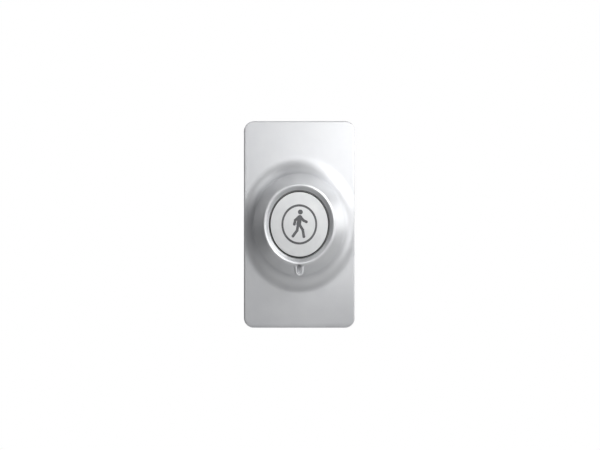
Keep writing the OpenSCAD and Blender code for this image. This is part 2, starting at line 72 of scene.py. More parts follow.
# %% Camera
MM = 0.001
SENSOR = 36
LENS = 300
SEEN_WIDTH = 515.7
AIM = (0.6, -7.5, -0.5)
distance = SEEN_WIDTH * LENS / SENSOR
lens = bpy.data.cameras.new("camera")
lens.sensor_width = SENSOR
lens.lens = LENS
lens.clip_end = 20
camera = bpy.data.objects.new("camera", lens)
camera.location = (AIM[0] * MM, (AIM[1] - distance) * MM, AIM[2] * MM)
camera.rotation_euler = (math.radians(90), 0, 0)
bpy.context.scene.collection.objects.link(camera)
bpy.context.scene.camera = camera
bpy.context.scene.view_settings.view_transform = "Standard"
print("camera", round(distance / 1000, 2), "m from the plate")

# %% [markdown]
# ## Units and the working frame
# Drawings of castings are read in millimetres, so every size below is in millimetres and one number
# turns it into Blender's metres. The button faces -Y and the wall is at Y = 0, so a place on the
# casting is its X, its Z and its depth out from the wall, which is -Y.

# %% Sizes read from the frame
def box_mm(name):
    """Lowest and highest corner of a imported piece, in millimetres."""
    low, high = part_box(name)
    return [v / MM for v in low], [v / MM for v in high]


housing_low, housing_high = box_mm("housing")
cap_low = box_mm("button_cap")[0]
guide_low = box_mm("guide_plate")[0]
cover_low = box_mm("rear_cover")[0]
half_w = housing_high[0]
half_h = housing_high[2]
plate_back = -housing_high[1]
lip_top = -housing_low[1]
face_depth = -cap_low[1]
print("plate", 2 * half_w, "x", 2 * half_h, "mm, lip", lip_top, "mm from the wall")

# %% [markdown]
# ## The section of the boss
# Seen from the side, the casting's front is a chain of simple curves: a straight dish around the
# button, a small round lip, a straight steep flank, a sharp edge, and a hollow flare that runs out
# into the flat plate. The straight lines just touch the lip's circle, so no corner shows there.
# One function gives the depth at any radius. The boss is an oval, so a "radius" here is the upright
# one, and widths are narrowed by a fixed ratio.

# %% Section of the front
OVAL = 0.889
BORE_R = 28.9
LIP_R = 33.5
LIP_ROUND = 2.1
FLANK_R = 43.8
FLANK_FOOT = 13.0
FLARE_ROUND = 15.7
PLATE_THICK = 6.0
CORNER_R = 8.6
DISH_ABOVE_FACE = 0.4
plate_front = plate_back + PLATE_THICK
dish_foot = face_depth + DISH_ABOVE_FACE
flare_end = FLANK_R + math.sqrt(FLARE_ROUND**2 - (FLARE_ROUND - FLANK_FOOT) ** 2)
lip_centre = (LIP_R, lip_top - LIP_ROUND)
flank_foot = (FLANK_R, plate_front + FLANK_FOOT)


def touch_angle_and_point(start, centre, radius, side):
    """Where a line from start touches the circle, and the angle of its radius there."""
    dx, dy = centre[0] - start[0], centre[1] - start[1]
    reach = math.hypot(dx, dy)
    heading = math.atan2(dy, dx) + side * math.asin(radius / reach)
    run = math.sqrt(reach**2 - radius**2)
    point = (start[0] + run * math.cos(heading), start[1] + run * math.sin(heading))
    return math.atan2(point[0] - centre[0], point[1] - centre[1]), point


dish_angle, dish_top = touch_angle_and_point((BORE_R, dish_foot), lip_centre, LIP_ROUND, 1)
flank_angle, flank_top = touch_angle_and_point(flank_foot, lip_centre, LIP_ROUND, -1)


def front_depth(radius):
    """Depth of the casting's front at an upright radius."""
    r = np.asarray(radius, float)
    dish = np.interp(r, [BORE_R, dish_top[0]], [dish_foot, dish_top[1]])
    lip = lip_centre[1] + np.sqrt(np.clip(LIP_ROUND**2 - (r - LIP_R) ** 2, 0, None))
    flank = np.interp(r, [flank_top[0], FLANK_R], [flank_top[1], flank_foot[1]])
    hollow = np.sqrt(np.clip(FLARE_ROUND**2 - (flare_end - r) ** 2, 0, None))
    steps = [r < dish_top[0], r < flank_top[0], r < FLANK_R, r < flare_end]
    return np.select(steps, [dish, lip, flank, plate_front + FLARE_ROUND - hollow], plate_front)


print("flare runs out at", round(flare_end, 1), "mm")

# %% [markdown]
# ## Columns of the casting's mesh
# The mesh is a set of closed loops around the button, like the rings of a lathe job, that change from
# oval to the plate's rounded rectangle on their way out. Each column is a ray from the centre. Rays
# are one degree apart, with extra ones through the plate's corner arcs so that those stay round.

# %% Columns
COLUMN_STEP = 1.0
CORNER_POINTS = 21
LEAST_APART = 0.35 * COLUMN_STEP


def corner_columns():
    """Directions of points along one corner arc, as column angles from 6 o'clock."""
    turns = np.radians(np.linspace(0, 90, CORNER_POINTS))
    x = half_w - CORNER_R + CORNER_R * np.sin(turns)
    z = half_h - CORNER_R + CORNER_R * np.cos(turns)
    return np.degrees(np.arctan2(x / OVAL, z))


def all_columns():
    near = corner_columns()
    corners = np.concatenate([near, 180 - near, 180 + near, 360 - near])
    plain = np.arange(0, 360, COLUMN_STEP)
    apart = np.abs(plain[:, None] - corners[None, :]).min(axis=1) > LEAST_APART
    return np.radians(np.sort(np.concatenate([plain[apart], corners])))


columns = all_columns()
ray_x = OVAL * np.sin(columns)
ray_z = -np.cos(columns)
print("columns", len(columns))

# %% Distance from the outline
NEAREST, FARTHEST = 1.0, 2.5 * half_h
BISECTIONS = 40


def plate_distance(x, z):
    """Signed distance from the plate's outline, negative inside."""
    qx = np.abs(x) - (half_w - CORNER_R)
    qz = np.abs(z) - (half_h - CORNER_R)
    outside = np.hypot(np.maximum(qx, 0), np.maximum(qz, 0))
    return outside + np.minimum(np.maximum(qx, qz), 0) - CORNER_R


def reach_where(distance, level, x0, z0, dx, dz, low, high):
    """How far along each ray a growing distance function first equals level."""
    low = np.full_like(dx, low)
    high = np.broadcast_to(high, dx.shape).astype(float)
    for _ in range(BISECTIONS):
        middle = (low + high) / 2
        inside = distance(x0 + middle * dx, z0 + middle * dz) < level
        low = np.where(inside, middle, low)
        high = np.where(inside, high, middle)
    return (low + high) / 2


def plate_reach(inset):
    return reach_where(plate_distance, -inset, 0, 0, ray_x, ray_z, NEAREST, FARTHEST)


print("shortest ray to the outline", round(plate_reach(0).min(), 1), "mm")

# %% [markdown]
# ## Rings of the casting
# The loops run out over the front, round the plate's edge, in across the back, and up through the
# chamber and the bore to where they began, so the casting is one closed skin with nothing missing.
# A cast and tumbled edge is never a true corner, so the plate's front edge is rolled over. Where the
# flare is still sloping as it meets the side of the plate, the roll starts from that slope.

# %% Front rings
EDGE_ROUND = 1.3
BACK_ROUND = 0.4
BORE_BREAK = 0.25
BREAK_BULGE = (0.06, 0.04)
DISH_POINTS = 8
LIP_POINTS = 15
FLANK_POINTS = 17
FOOT_EASE = 0.15
CREASE = 0.02
rings = []


def add_ring(x, z, depth):
    x = np.broadcast_to(x, columns.shape)
    z = np.broadcast_to(z, columns.shape)
    depth = np.broadcast_to(depth, columns.shape)
    rings.append(np.stack([x, z, depth], axis=1))


def add_oval(radius, depth):
    add_ring(radius * ray_x, radius * ray_z, depth)


add_oval(BORE_R, dish_foot - BORE_BREAK)
add_oval(BORE_R + BREAK_BULGE[0], dish_foot - BREAK_BULGE[1])
for radius in np.linspace(BORE_R + BORE_BREAK, dish_top[0], DISH_POINTS):
    add_oval(radius, front_depth(radius))
dish_rings = len(rings)
for angle in np.linspace(dish_angle, flank_angle, LIP_POINTS)[1:]:
    add_oval(LIP_R + LIP_ROUND * math.sin(angle), lip_centre[1] + LIP_ROUND * math.cos(angle))
for radius in np.linspace(flank_top[0], FLANK_R - FOOT_EASE, FLANK_POINTS)[1:]:
    add_oval(radius, front_depth(radius))
add_oval(FLANK_R - CREASE, front_depth(FLANK_R - CREASE) - 2 * CREASE)
flank_rings = len(rings)
print("rings as far as the flank's foot", flank_rings)

# %% Slope where the front meets the side
PROBE = 0.02
NEWTON_STEPS = 6
outline_x = plate_reach(0) * ray_x
outline_z = plate_reach(0) * ray_z


def outline_slope(step_x, step_z):
    """How fast the distance from the outline grows along one axis."""
    ahead = plate_distance(outline_x + step_x, outline_z + step_z)
    behind = plate_distance(outline_x - step_x, outline_z - step_z)
    return (ahead - behind) / 2 / PROBE


def depth_inside(inset):
    """The front's depth at a distance inside the outline, square to it."""
    x = outline_x - inset * normal_x
    z = outline_z - inset * normal_z
    return front_depth(np.hypot(x / OVAL, z))


normal_x = outline_slope(PROBE, 0)
normal_z = outline_slope(0, PROBE)
roll_start = np.arctan((depth_inside(EDGE_ROUND) - depth_inside(EDGE_ROUND - PROBE)) / PROBE)
roll_inset = EDGE_ROUND * (1 - np.sin(roll_start))


def reach_at(inset):
    """Reach of each column at its own distance inside the outline."""
    growth = ray_x * normal_x + ray_z * normal_z
    reach = plate_reach(0)
    for _ in range(NEWTON_STEPS):
        reach = reach - (plate_distance(reach * ray_x, reach * ray_z) + inset) / growth
    return reach


print("steepest start of the roll", round(math.degrees(roll_start.max())), "degrees")

# %% Plate and edge rings
PLATE_RINGS = 42
SPREAD = 1.6
ROLL_POINTS = 8
roll_reach = reach_at(roll_inset)
first_r = FLANK_R + FOOT_EASE
for k in range(PLATE_RINGS + 1):
    radius = first_r + (roll_reach - first_r) * (k / PLATE_RINGS) ** SPREAD
    add_ring(radius * ray_x, radius * ray_z, front_depth(radius))
roll_top = front_depth(roll_reach) - EDGE_ROUND * np.cos(roll_start)
for share in np.linspace(0, 1, ROLL_POINTS)[1:]:
    turn = roll_start + (math.pi / 2 - roll_start) * share
    radius = reach_at(EDGE_ROUND * (1 - np.sin(turn)))
    add_ring(radius * ray_x, radius * ray_z, roll_top + EDGE_ROUND * np.cos(turn))
for share in (0.5, 1.0):
    add_ring(outline_x, outline_z, roll_top + (plate_back + BACK_ROUND - roll_top) * share)
for turn in np.radians((30, 60, 90)):
    radius = reach_at(np.full_like(columns, BACK_ROUND * (1 - math.cos(turn))))
    add_ring(radius * ray_x, radius * ray_z, plate_back + BACK_ROUND * (1 - math.sin(turn)))
front_rings = len(rings)
print("front rings", front_rings)

# %% [markdown]
# ## The back, the chamber and the bore
# Behind the plate sits a round seat for the cover and a round chamber for the switch, turned true
# after casting. In front of the chamber the hollow turns oval again for the button's flange and its
# seal. Turned corners are crisp, with a slight chamfer where a tool breaks the edge.

# %% Back rings
SEAT_R = 41.5
CHAMBER_R = 34.0
CHAMFER = 0.3
POCKET_R = 31.2
COVER_GASKET = 1.0
GUIDE_GASKET = 0.8
SHOULDER_DROP = 3.1
seat_depth = -cover_low[1] + COVER_GASKET
ledge_depth = -guide_low[1] + GUIDE_GASKET
shoulder_depth = face_depth - SHOULDER_DROP
ray_length = np.hypot(ray_x, ray_z)


def add_circle(radius, depth):
    add_ring(radius * ray_x / ray_length, radius * ray_z / ray_length, depth)


back_reach = reach_at(np.full_like(columns, BACK_ROUND))
mouth = SEAT_R + CHAMFER
for share in (0.25, 0.5, 0.75):
    radius = back_reach + (mouth / ray_length - back_reach) * share
    add_ring(radius * ray_x, radius * ray_z, plate_back)
add_circle(mouth, plate_back)
add_circle(SEAT_R, plate_back + CHAMFER)
add_circle(SEAT_R, seat_depth)
add_circle((SEAT_R + CHAMBER_R) / 2, seat_depth)
add_circle(CHAMBER_R + CHAMFER, seat_depth)
add_circle(CHAMBER_R, seat_depth + CHAMFER)
add_circle(CHAMBER_R, (seat_depth + ledge_depth) / 2)
add_circle(CHAMBER_R, ledge_depth)
add_oval(POCKET_R, ledge_depth)
add_oval(POCKET_R, shoulder_depth)
add_oval(BORE_R, shoulder_depth)
grid = np.array(rings)
print("rings", len(rings), "points", grid.shape[0] * grid.shape[1])

# %% [markdown]
# ## The drain spout
# Rain that gets past the button leaves through a slot in a small spout at 6 o'clock. On the real
# casting the spout's sides run into the flank with a fillet. A boolean would leave a hard seam there,
# so a window is left open in the rings and filled with loops of its own, that follow the slot's edge
# first, then the spout's edge, and last the window.

# %% Spout outlines
SLOT_R = 1.7
SLOT_ENDS = (-40.8, -35.9)
SPOUT_HALF = 3.45
SPOUT_END_Z = -40.6
SPOUT_ROOT_HALF = 4.3
SPOUT_ROOT_Z = -33.6
FLARE_FROM_Z = -38.0
ROOT_FLARE = 1.5
SPOUT_DROP = 0.9
SLOT_DROP = 2.5
spout_top = lip_top - SPOUT_DROP
slot_floor = face_depth - SLOT_DROP
slot_mid = sum(SLOT_ENDS) / 2


def slot_distance(x, z):
    along = np.clip(z, *SLOT_ENDS)
    return np.hypot(x, z - along) - SLOT_R


def spout_distance(x, z):
    """Signed distance, near enough, from the spout's outline."""
    taper = np.interp(z, [SPOUT_END_Z, SPOUT_ROOT_Z], [SPOUT_HALF, SPOUT_ROOT_HALF])
    flare = ROOT_FLARE * np.clip((z - FLARE_FROM_Z) / (SPOUT_ROOT_Z - FLARE_FROM_Z), 0, 1) ** 3
    sides = np.maximum(np.abs(x) - taper - flare, z - SPOUT_ROOT_Z)
    rounded_end = np.hypot(x, z - SPOUT_END_Z) - SPOUT_HALF
    return np.where(z < SPOUT_END_Z, rounded_end, sides)


print("slot", round(SLOT_ENDS[1] - SLOT_ENDS[0] + 2 * SLOT_R, 1), "x", 2 * SLOT_R, "mm")

# %% Window in the rings
WINDOW_HALF = 10
RINGS_INTO_DISH = 2
RINGS_PAST_FLANK = 6
window_first = dish_rings - RINGS_INTO_DISH
window_last = flank_rings + RINGS_PAST_FLANK
columns_count = len(columns)
left = [k % columns_count for k in range(-WINDOW_HALF, WINDOW_HALF + 1)]
ring_run = list(range(window_first, window_last + 1))
loop = [(window_last, c) for c in left]
loop += [(r, left[-1]) for r in reversed(ring_run[:-1])]
loop += [(window_first, c) for c in reversed(left[:-1])]
loop += [(r, left[0]) for r in ring_run[1:-1]]
rim = np.array([grid[r, c] for r, c in loop])
rim_dx, rim_dz = rim[:, 0], rim[:, 1] - slot_mid
rim_reach = np.hypot(rim_dx, rim_dz)
rim_dx, rim_dz = rim_dx / rim_reach, rim_dz / rim_reach
print("window rim", len(loop), "points")

# %% Spout loops
SLOT_EDGE = 0.35
SPOUT_EDGE = 0.6
FILLET = 1.0
LEAST_STEP = 0.03
FOOT_ROUND = 0.3
FOOT_BULGE = 0.09
EDGE_BULGE = 0.1
WALL_STEP = 0.04
FULL_ROUND_RISE = 2
WALL_LOOPS = 5
FILLET_LOOPS = 6


def spout_reach(distance, level):
    return reach_where(distance, level, 0, slot_mid, rim_dx, rim_dz, 0.0, rim_reach)


def surface(reach):
    """Depth of the boss below a loop, and how far the spout's face stands above it."""
    radius = np.hypot(reach * rim_dx / OVAL, slot_mid + reach * rim_dz)
    base = front_depth(radius)
    return base, np.maximum(spout_top - base, 0)


slot_reach = spout_reach(slot_distance, 0)
slot_base, slot_rise = surface(slot_reach + SLOT_EDGE)
slot_top = slot_base + slot_rise
slot_foot = slot_floor + FOOT_ROUND
loops = [(slot_reach - FOOT_ROUND, np.full_like(slot_reach, slot_floor)),
         (slot_reach - FOOT_BULGE, np.full_like(slot_reach, slot_floor + FOOT_BULGE)),
         (slot_reach, np.full_like(slot_reach, slot_foot))]
for share in (0.35, 0.7, 1.0):
    loops.append((slot_reach, slot_foot + (slot_top - SLOT_EDGE - slot_foot) * share))
loops.append((slot_reach + EDGE_BULGE, slot_top - EDGE_BULGE))

face_start = slot_reach + SLOT_EDGE
face_end = spout_reach(spout_distance, -SPOUT_EDGE)
outer = [face_start, (face_start + face_end) / 2, face_end]
drops = [0, 0, 0]
for turn in np.radians((30, 60, 90)):
    outer.append(spout_reach(spout_distance, -SPOUT_EDGE * (1 - math.sin(turn))))
    drops.append(SPOUT_EDGE * (1 - math.cos(turn)))
floors = []
for k in range(1, WALL_LOOPS + 1):
    outer.append(spout_reach(spout_distance, WALL_STEP * k))
    floors.append((k / WALL_LOOPS, FILLET))
for k in range(1, FILLET_LOOPS + 1):
    step = FILLET * k / FILLET_LOOPS
    outer.append(spout_reach(spout_distance, WALL_STEP * WALL_LOOPS + step))
    floors.append((1, FILLET - math.sqrt(FILLET**2 - (FILLET - step) ** 2)))
outer.append((outer[-1] + rim_reach) / 2)
floors.append((1, 0))
for k in range(1, len(outer)):
    room = LEAST_STEP * (len(outer) - k)
    outer[k] = np.minimum(np.maximum(outer[k], outer[k - 1] + LEAST_STEP), rim_reach - room)
for k, reach in enumerate(outer):
    base, rise = surface(reach)
    ease = np.minimum(1, rise / FULL_ROUND_RISE)
    if k < len(drops):
        loops.append((reach, base + rise - drops[k] * ease))
    else:
        share, height = floors[k - len(drops)]
        wall_top = rise - SPOUT_EDGE * ease
        wall_foot = np.minimum(height * ease, wall_top)
        loops.append((reach, base + wall_top + (wall_foot - wall_top) * share))
print("spout loops", len(loops))

# %% [markdown]
# ## Joining the casting
# The rings become quads, except inside the window. The window's loops become quads too, and the slot's
# floor closes with one flat face. Small bores are cut last with a boolean, because a drilled hole has
# a hard edge on the real part as well.

# %% Build a mesh object
def mesh_object(name, points, faces):
    """A new object from points in metres and faces, with clean outward normals."""
    mesh = bpy.data.meshes.new(name)
    mesh.from_pydata([tuple(p) for p in points], [], faces)
    work = bmesh.new()
    work.from_mesh(mesh)
    loose = [v for v in work.verts if not v.link_faces]
    bmesh.ops.delete(work, geom=loose, context="VERTS")
    bmesh.ops.recalc_face_normals(work, faces=work.faces)
    work.to_mesh(mesh)
    work.free()
    made = bpy.data.objects.new(name, mesh)
    bpy.context.scene.collection.objects.link(made)
    return made


def shade(piece, angle):
    """Smooth shading that breaks at edges sharper than angle degrees."""
    for face in piece.data.polygons:
        face.use_smooth = True
    piece.data.set_sharp_from_angle(angle=math.radians(angle))


def to_metres(plan_x, plan_z, depth):
    return np.stack([plan_x, -depth, plan_z], axis=-1) * MM


def build_casting():
    count, around = grid.shape[0], grid.shape[1]
    points = list(to_metres(grid[..., 0].ravel(), grid[..., 1].ravel(), grid[..., 2].ravel()))
    open_columns = set(left[:-1])
    faces = []
    for r in range(count):
        for c in range(around):
            if window_first <= r < window_last and c in open_columns:
                continue
            up, right = (r + 1) % count, (c + 1) % around
            faces.append((r * around + c, r * around + right, up * around + right, up * around + c))
    size = len(loop)
    starts = []
    for reach, depth in loops:
        starts.append(len(points))
        points += list(to_metres(reach * rim_dx, slot_mid + reach * rim_dz, depth))
    index = [[start + k for k in range(size)] for start in starts]
    index.append([r * around + c for r, c in loop])
    for inner, wider in zip(index, index[1:]):
        for k in range(size):
            n = (k + 1) % size
            faces.append((inner[k], inner[n], wider[n], wider[k]))
    faces.append(tuple(index[0]))
    return mesh_object("housing_casting", points, faces)


casting = build_casting()
print("casting faces", len(casting.data.polygons))

# %% Drill
DRILL_LEAD = 1


def cylinder_between(start, end, radius, sides=32):
    """Points and faces of a closed cylinder from start to end, in millimetres."""
    axis = np.subtract(end, start) / np.linalg.norm(np.subtract(end, start))
    side = np.cross(axis, (0, 0, 1) if abs(axis[2]) < 0.9 else (1, 0, 0))
    side = side / np.linalg.norm(side)
    other = np.cross(axis, side)
    turns = 2 * math.pi * np.arange(sides) / sides
    circle = radius * (np.cos(turns)[:, None] * side + np.sin(turns)[:, None] * other)
    points = np.concatenate([circle + start, circle + end])
    faces = [tuple(range(sides)), tuple(range(2 * sides - 1, sides - 1, -1))]
    faces += [(k, (k + 1) % sides, (k + 1) % sides + sides, k + sides) for k in range(sides)]
    return points, faces


def drill(piece, holes):
    """Cuts cylinders out of a piece with one boolean."""
    points, faces = [], []
    for start, end, radius in holes:
        more, sides = cylinder_between(start, end, radius)
        faces += [tuple(k + len(points) for k in f) for f in sides]
        points += list(more * MM)
    cutter = mesh_object("drill", points, faces)
    cut = piece.modifiers.new("drill", "BOOLEAN")
    cut.operation = "DIFFERENCE"
    cut.solver = "EXACT"
    cut.object = cutter
    depsgraph = bpy.context.evaluated_depsgraph_get()
    drilled = bpy.data.meshes.new_from_object(piece.evaluated_get(depsgraph))
    piece.modifiers.clear()
    piece.data = drilled
    bpy.data.objects.remove(cutter)


def straight_hole(x, z, surface_depth, depth, radius):
    """A hole in from the back, whose drill starts a little behind the surface."""
    return (x, DRILL_LEAD - surface_depth, z), (x, -surface_depth - depth, z), radius


# %% Drilled holes
FIXING_X, FIXING_Z = 36.0, 76.0
FIXING_HOLE = {"depth": 4.4, "radius": 3.6}
FLANGE_SEAT = {"depth": 0.9, "radius": 4.8}
# The seat's drill starts a little further back, so that no two drills share a face
SEAT_LAG = 0.2
CASTING_SHARP = 32
COVER_SCREW = 37.8 / math.sqrt(2)
COVER_HOLE = {"depth": 6.5, "radius": 2.0}
GUIDE_SCREW_RING = 30.9
GUIDE_SCREW_ANGLES = (20, 160, 200, 340)
GUIDE_HOLE = {"depth": 4.5, "radius": 1.5}
DRAIN_R = 1.2
drain_y = DRAIN_R - face_depth
holes = [((0, drain_y, DRILL_LEAD - BORE_R), (0, drain_y, SLOT_ENDS[1]), DRAIN_R)]
for sx in (-1, 1):
    for sz in (-1, 1):
        holes.append(straight_hole(sx * FIXING_X, sz * FIXING_Z, plate_back, **FIXING_HOLE))
        holes.append(straight_hole(sx * FIXING_X, sz * FIXING_Z, plate_back - SEAT_LAG, **FLANGE_SEAT))
        holes.append(straight_hole(sx * COVER_SCREW, sz * COVER_SCREW, seat_depth, **COVER_HOLE))
for turn in np.radians(GUIDE_SCREW_ANGLES):
    x, z = GUIDE_SCREW_RING * math.cos(turn), GUIDE_SCREW_RING * math.sin(turn)
    holes.append(straight_hole(x, z, ledge_depth, **GUIDE_HOLE))
drill(casting, holes)
shade(casting, CASTING_SHARP)
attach(casting, "base")
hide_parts("housing")
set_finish(casting, "cast_aluminium")
print("casting faces after drilling", len(casting.data.polygons))

# %% [markdown]
# ## Wire parts
# The return spring and the two leads are round wire bent along a line. Each is a tube swept along
# its own centre line. A curve object could do it, but the spring has to shorten when the button goes
# in, and that needs a mesh, so both are swept by one function that carries a circle from point to point
# without letting it twist.

# %% Sweep a tube
TUBE_SHARP = 40
# Any direction will do that no wire sets out in
FIRST_SIDE = (0.3, 0.5, 0.8)


def sweep(name, path, radius, sides):
    """A closed round tube along a path in millimetres."""
    path = np.asarray(path, float)
    ahead = np.gradient(path, axis=0)
    ahead /= np.linalg.norm(ahead, axis=1)[:, None]
    side = np.cross(ahead[0], FIRST_SIDE)
    points, faces = [], []
    turns = 2 * math.pi * np.arange(sides) / sides
    for place, way in zip(path, ahead):
        side = side - way * np.dot(side, way)
        side /= np.linalg.norm(side)
        up = np.cross(way, side)
        circle = np.cos(turns)[:, None] * side + np.sin(turns)[:, None] * up
        points += list((place + radius * circle) * MM)
    for k in range(len(path) - 1):
        for s in range(sides):
            n = (s + 1) % sides
            faces.append((k * sides + s, k * sides + n, (k + 1) * sides + n, (k + 1) * sides + s))
    faces.append(tuple(range(sides)))
    faces.append(tuple(len(points) - sides + s for s in range(sides)))
    tube = mesh_object(name, points, faces)
    shade(tube, TUBE_SHARP)
    return tube


# %% Return spring
SPRING_WIRE = 0.4
SPRING_TURNS = 4
SPRING_POINTS = 60
SPRING_SIDES = 12
CLOSED_PITCH = 2.1
spring_low, spring_high = box_mm("return_spring")
spring_r = spring_high[0] - SPRING_WIRE
spring_back = -spring_high[1] + SPRING_WIRE
spring_front = -spring_low[1] - SPRING_WIRE
turn = np.linspace(0, SPRING_TURNS, SPRING_TURNS * SPRING_POINTS + 1)
closed = CLOSED_PITCH * SPRING_WIRE
heights = np.interp(turn, [0, 1, SPRING_TURNS - 1, SPRING_TURNS],
                    [0, closed, spring_front - spring_back - closed, spring_front - spring_back])
angle = 2 * math.pi * turn
helix = np.stack([spring_r * np.cos(angle), -(spring_back + heights), spring_r * np.sin(angle)], axis=1)
spring = sweep("return_spring_wire", helix, SPRING_WIRE, SPRING_SIDES)
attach(spring, "base")
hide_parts("return_spring")
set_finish(spring, "spring_steel")
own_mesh(spring)

# %% Leads
LEAD_R = 0.8
LEAD_SIDES = 20
ROUTE_STEPS = 6


def smooth(points):
    """A soft curve through the points, with a few more between each pair."""
    p = [np.array(q, float) for q in points]
    made = []
    for i in range(len(p) - 1):
        a, b, c, d = p[max(i - 1, 0)], p[i], p[i + 1], p[min(i + 2, len(p) - 1)]
        for t in np.arange(ROUTE_STEPS) / ROUTE_STEPS:
            made.append(0.5 * (2 * b + (c - a) * t + (2 * a - 5 * b + 4 * c - d) * t**2
                               + (3 * b - a - 3 * c + d) * t**3))
    return made + [p[-1]]


# Each place is across, up and out from the wall
COMMON_ROUTE = [(12.51, 0, 5.2), (13.61, 0, 5.2), (19, -1.4, 5.8), (21, -5, 7.5), (20, -9, 11),
                (14, -10.6, 14), (9, -11, 15.5), (8, -13, 15.5), (8, -16.5, 15.5)]
CONTACT_ROUTE = [(12.51, 0, 8.2), (13.61, 0, 8.2), (17, -1.6, 8.7), (17.6, -5, 10), (11, -8.2, 13.4),
                 (3, -9.6, 15.5), (0, -13, 15.5), (0, -16.5, 15.5)]


def add_lead(name, route, node_name, slot_name):
    path = [(across, -out, up) for across, up, out in smooth(route)]
    lead = sweep(name, path, LEAD_R, LEAD_SIDES)
    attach(lead, "base")
    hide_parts(node_name)
    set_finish(lead, slot_name)
    return lead


common_lead = add_lead("common_lead_insulation", COMMON_ROUTE, "common_lead", "lead_red")
contact_lead = add_lead("contact_lead_insulation", CONTACT_ROUTE, "contact_lead", "lead_black")
print("leads swept with", len(smooth(COMMON_ROUTE)), "and", len(smooth(CONTACT_ROUTE)), "points")

# %% [markdown]
# ## Writing materials
# Colours are noted as hex values, as on a paint card. Those are sRGB, so one function turns them into the
# linear numbers that a renderer adds up. A second one places a node with its settings and links, and a
# third turns the size of a pattern on the real surface, in millimetres, into the scale of a texture.
# A random pattern stays near 0.5 most of the time, so only its middle is stretched when it drives a
# colour or a roughness.

# %% Helpers for materials
MIDDLE = {"From Min": 0.35, "From Max": 0.65}


def linear(hex_colour):
    parts = [int(hex_colour[k:k + 2], 16) / 255 for k in (1, 3, 5)]
    return [*(p / 12.92 if p <= 0.04045 else ((p + 0.055) / 1.055) ** 2.4 for p in parts), 1]


def add(tree, kind, inputs=None, **settings):
    """Adds a node, sets its properties, and fills its inputs with values or links."""
    made = tree.nodes.new("ShaderNode" + kind)
    for name, value in settings.items():
        setattr(made, name, value)
    for key, value in (inputs or {}).items():
        if isinstance(value, bpy.types.NodeSocket):
            tree.links.new(value, made.inputs[key])
        else:
            made.inputs[key].default_value = value
    return made


def per(size):
    """Texture scale for a pattern that repeats about every size millimetres."""
    return 1 / (size * MM)


def start(name, roughness, metallic=0.0, ior=1.5):
    """A new material at its typical values, its shader, and the place on the surface in metres."""
    material = bpy.data.materials.new(name)
    material.use_nodes = True
    tree = material.node_tree
    shader = tree.nodes["Principled BSDF"]
    shader.inputs["Roughness"].default_value = roughness
    shader.inputs["Metallic"].default_value = metallic
    shader.inputs["IOR"].default_value = ior
    place = add(tree, "TexCoord").outputs["Object"]
    return material, tree, shader, place


def toned(tree, pattern, first, second):
    """Colour that drifts from one hex colour to another as a pattern goes through its middle."""
    share = add(tree, "MapRange", {"Value": pattern, **MIDDLE}).outputs[0]
    # A colour mix takes its colours in sockets 6 and 7 and gives its result in socket 2
    mix = add(tree, "Mix", {0: share, 6: linear(first), 7: linear(second)}, data_type="RGBA")
    return mix.outputs[2]


def bumped(tree, shader, height, depth, soften=0.0):
    """Relief of depth millimetres; soften rounds edges of that radius, in millimetres."""
    bump = add(tree, "Bump", {"Height": height, "Distance": depth * MM})
    if soften:
        rounded = add(tree, "Bevel", {"Radius": soften * MM}, samples=4)
        tree.links.new(rounded.outputs[0], bump.inputs["Normal"])
    tree.links.new(bump.outputs[0], shader.inputs["Normal"])


def connect(tree, shader, **sockets):
    for name, value in sockets.items():
        tree.links.new(value, shader.inputs[name.replace("_", " ")])


finishes = {}


def keep(**made):
    """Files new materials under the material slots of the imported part."""
    finishes.update(made)
    print("finished", ", ".join(m.name for m in made.values()))


# %% [markdown]
# ## Die-cast aluminium, bead-blasted
# The casting is blasted with glass beads and sealed clear. Blasting gives thousands of tiny dents, so
# light spreads into a wide soft sheen and no reflection has an outline. Real dents are about 0.1 mm
# across, finer than any view of the whole plate can show, so the grain is drawn at 0.45 mm. A slow
# cloud in the roughness stands for uneven blasting. The lip's crest is the part that hands and sleeves
# rub, so it is a little smoother and lighter. The ditch around the button is darkened as painted shade.

# %% Cast aluminium
GRAIN = 0.45
CLOUD = 14
RUB_PATCH = 6
# Dark colour painted into the gap round the button and into sockets, as painted shade
PAINTED_SHADE_COLOUR = "#3A3937"


def scaled_length(tree, place, scale):
    """Length of the vector to a place, after each axis is scaled."""
    scaled = add(tree, "VectorMath", {0: place, 1: scale}, operation="MULTIPLY").outputs[0]
    return add(tree, "VectorMath", {0: scaled}, operation="LENGTH").outputs["Value"]


def band(tree, place, radius, half, blur):
    """1 within half of an upright radius of the oval boss, falling to 0 over blur, in millimetres."""
    upright = scaled_length(tree, place, (1 / OVAL / MM, 0, 1 / MM))
    away = add(tree, "Math", {0: upright, 1: radius}, operation="SUBTRACT").outputs[0]
    size = add(tree, "Math", {0: away}, operation="ABSOLUTE").outputs[0]
    limits = {"From Min": half, "From Max": half + blur, "To Min": 1.0, "To Max": 0.0}
    return add(tree, "MapRange", {"Value": size, **limits}, interpolation_type="SMOOTHSTEP").outputs[0]


def painted_shade_ring(tree, place, unshaded, radius, half, blur):
    """A colour darkened along an oval ring, as painted shade."""
    ring = band(tree, place, radius, half, blur)
    return add(tree, "Mix", {0: ring, 6: unshaded, 7: linear(PAINTED_SHADE_COLOUR)}, data_type="RGBA").outputs[2]


